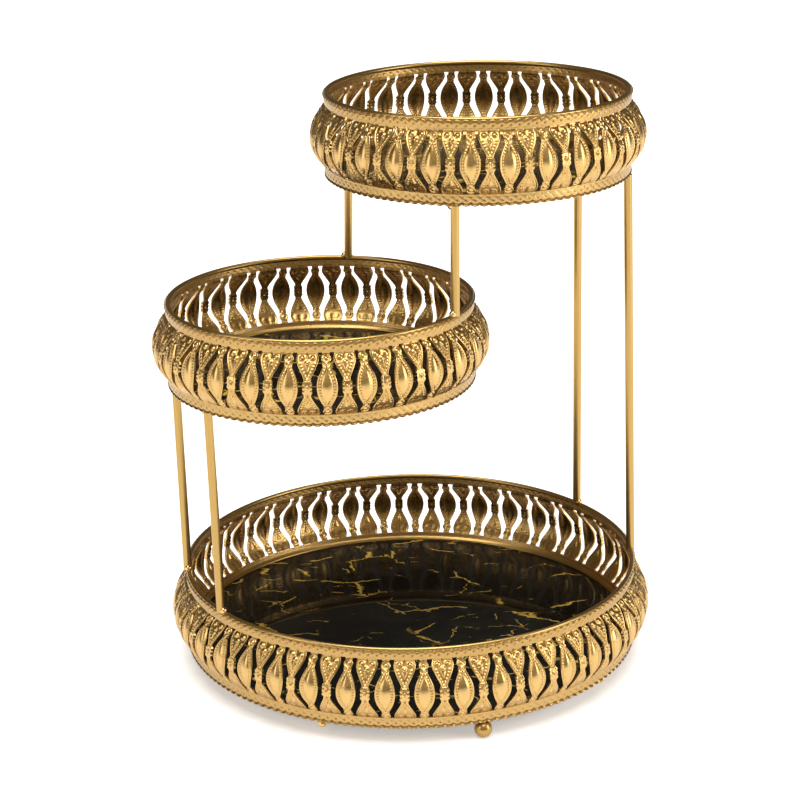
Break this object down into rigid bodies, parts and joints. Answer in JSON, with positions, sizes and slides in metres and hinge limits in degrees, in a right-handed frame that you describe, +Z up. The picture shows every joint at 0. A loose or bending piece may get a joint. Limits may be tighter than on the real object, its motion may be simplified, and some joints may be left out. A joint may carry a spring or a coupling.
{
  "type": "tiered cake stand",
  "caption": "Tiered serving stand: round trays with pressed openwork walls and loose glass floors, set at staggered heights on thin rods.",
  "frame": {"origin": "on the table plane, under the middle of the stand's bounding box", "axes": "+Z up; -Y to the front, where the small trays stand left and right of the middle; +X to the right, on the side of the top tray"},
  "size_m": [0.3197, 0.3174, 0.374],
  "materials": {
    "gold_wire": "satin",
    "gold_pressed": "satin",
    "weld_bead": "polished",
    "marble_glass": "gloss"
  },
  "bodies": {
    "stand": {"lower_rim_wire": "gold_wire", "lower_rim_braid": "gold_pressed", "lower_lace_gallery": "gold_pressed", "lower_base_braid": "gold_pressed", "lower_base_hoop": "gold_wire", "middle_rim_wire": "gold_wire", "middle_rim_braid": "gold_pressed", "middle_lace_gallery": "gold_pressed", "middle_base_braid": "gold_pressed", "middle_base_hoop": "gold_wire", "upper_rim_wire": "gold_wire", "upper_rim_braid": "gold_pressed", "upper_lace_gallery": "gold_pressed", "upper_base_braid": "gold_pressed", "upper_base_hoop": "gold_wire", "rod_lower_middle_outer": "gold_wire", "rod_lower_middle_front": "gold_wire", "rod_middle_upper_back": "gold_wire", "rod_middle_upper_front": "gold_wire", "rod_lower_upper_back": "gold_wire", "rod_lower_upper_outer": "gold_wire", "ball_foot_front": "gold_wire", "ball_foot_right": "gold_wire", "ball_foot_left": "gold_wire", "floor_wire_left": "gold_wire", "floor_wire_right": "gold_wire", "lower_rim_welds": "weld_bead", "middle_rim_welds": "weld_bead", "middle_base_welds": "weld_bead", "upper_base_welds": "weld_bead"},
    "lower_plate": {"lower_glass_plate": "marble_glass"},
    "middle_plate": {"middle_glass_plate": "marble_glass"},
    "upper_plate": {"upper_glass_plate": "marble_glass"}
  },
  "joints": [
    {"name": "lower_plate_lift", "type": "slide", "parent": "stand", "child": "lower_plate", "axis": [0, 0, 1], "range_m": [0, 0.058]},
    {"name": "middle_plate_lift", "type": "slide", "parent": "stand", "child": "middle_plate", "axis": [0, 0, 1], "range_m": [0, 0.058]},
    {"name": "upper_plate_lift", "type": "slide", "parent": "stand", "child": "upper_plate", "axis": [0, 0, 1], "range_m": [0, 0.1]}
  ]
}
